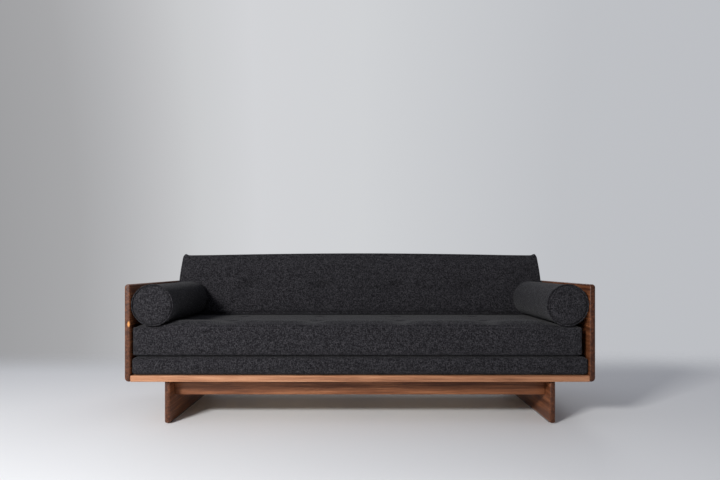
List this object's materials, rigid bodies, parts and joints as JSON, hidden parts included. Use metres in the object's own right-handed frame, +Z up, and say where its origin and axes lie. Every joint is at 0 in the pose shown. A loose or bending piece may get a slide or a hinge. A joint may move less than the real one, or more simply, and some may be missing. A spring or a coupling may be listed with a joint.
{
  "type": "daybed",
  "caption": "Low walnut daybed with board sides and back on two leg panels, a buttoned seat cushion, a leaning back cushion and two round bolsters.",
  "frame": {"origin": "on the floor, under the middle of the daybed", "axes": "+X along the daybed to the right as seen from the front, +Y from the front to the back, +Z up"},
  "size_m": [2.134, 0.8, 0.7861],
  "materials": {
    "walnut": "oiled",
    "pale_walnut": "oiled",
    "plywood": "bare",
    "charcoal_wool": "woven, matte",
    "foam": "open cell, matte",
    "zip_tape": "woven tape",
    "felt": "felted",
    "zinc_steel": "zinc plated",
    "zip_brass": "antique"
  },
  "bodies": {
    "frame": {"side_panel_left": "walnut", "side_panel_right": "walnut", "back_panel": "walnut", "back_rail": "walnut", "end_rail_left": "walnut", "end_rail_right": "walnut", "bearer_left": "walnut", "bearer_centre": "walnut", "bearer_right": "walnut", "leg_panel_left": "walnut", "leg_panel_right": "walnut", "leg_cleat_left": "walnut", "leg_cleat_right": "walnut", "front_stretcher": "walnut", "back_stretcher": "walnut", "front_rail": "pale_walnut", "deck_board": "plywood", "side_bolt_front_left": "zinc_steel", "side_bolt_front_right": "zinc_steel", "side_bolt_back_left": "zinc_steel", "side_bolt_back_right": "zinc_steel", "base_bolt_front_left": "zinc_steel", "base_bolt_front_right": "zinc_steel", "base_bolt_back_left": "zinc_steel", "base_bolt_back_right": "zinc_steel", "back_screw_left": "zinc_steel", "back_screw_right": "zinc_steel", "felt_strip_left": "felt", "felt_strip_right": "felt", "base_pad_cover": "charcoal_wool", "base_pad_foam": "foam"},
    "seat_cushion": {"seat_cover": "charcoal_wool", "seat_foam": "foam", "seat_zip": "zip_tape", "seat_button_1": "charcoal_wool", "seat_button_2": "charcoal_wool", "seat_button_3": "charcoal_wool", "seat_button_4": "charcoal_wool", "seat_button_5": "charcoal_wool", "seat_button_6": "charcoal_wool", "seat_button_7": "charcoal_wool", "seat_button_8": "charcoal_wool"},
    "seat_slider": {"seat_zip_slider": "zip_brass"},
    "back_cushion": {"back_cover": "charcoal_wool", "back_foam": "foam", "back_zip": "zip_tape", "back_button_1": "charcoal_wool", "back_button_2": "charcoal_wool", "back_button_3": "charcoal_wool", "back_button_4": "charcoal_wool"},
    "back_slider": {"back_zip_slider": "zip_brass"},
    "bolster_left": {"bolster_left_cover": "charcoal_wool", "bolster_left_foam": "foam", "bolster_left_zip": "zip_tape"},
    "bolster_left_slider": {"bolster_left_zip_slider": "zip_brass"},
    "bolster_right": {"bolster_right_cover": "charcoal_wool", "bolster_right_foam": "foam", "bolster_right_zip": "zip_tape"},
    "bolster_right_slider": {"bolster_right_zip_slider": "zip_brass"}
  },
  "joints": [
    {"name": "seat_lift", "type": "slide", "parent": "frame", "child": "seat_cushion", "axis": [0, 0, 1], "range_m": [0, 0.35]},
    {"name": "back_lift", "type": "slide", "parent": "seat_cushion", "child": "back_cushion", "axis": [0, 0.225, 0.9744], "range_m": [0, 0.35]},
    {"name": "bolster_left_lift", "type": "slide", "parent": "seat_cushion", "child": "bolster_left", "axis": [0, 0, 1], "range_m": [0, 0.3]},
    {"name": "bolster_right_lift", "type": "slide", "parent": "seat_cushion", "child": "bolster_right", "axis": [0, 0, 1], "range_m": [0, 0.3]},
    {"name": "seat_zip_run", "type": "slide", "parent": "seat_cushion", "child": "seat_slider", "axis": [1, 0, 0], "range_m": [0, 1.9472]},
    {"name": "back_zip_run", "type": "slide", "parent": "back_cushion", "child": "back_slider", "axis": [1, 0, 0], "range_m": [0, 1.9752]},
    {"name": "bolster_left_zip_run", "type": "slide", "parent": "bolster_left", "child": "bolster_left_slider", "axis": [0, 1, 0], "range_m": [0, 0.4709]},
    {"name": "bolster_right_zip_run", "type": "slide", "parent": "bolster_right", "child": "bolster_right_slider", "axis": [0, 1, 0], "range_m": [0, 0.4709]}
  ]
}
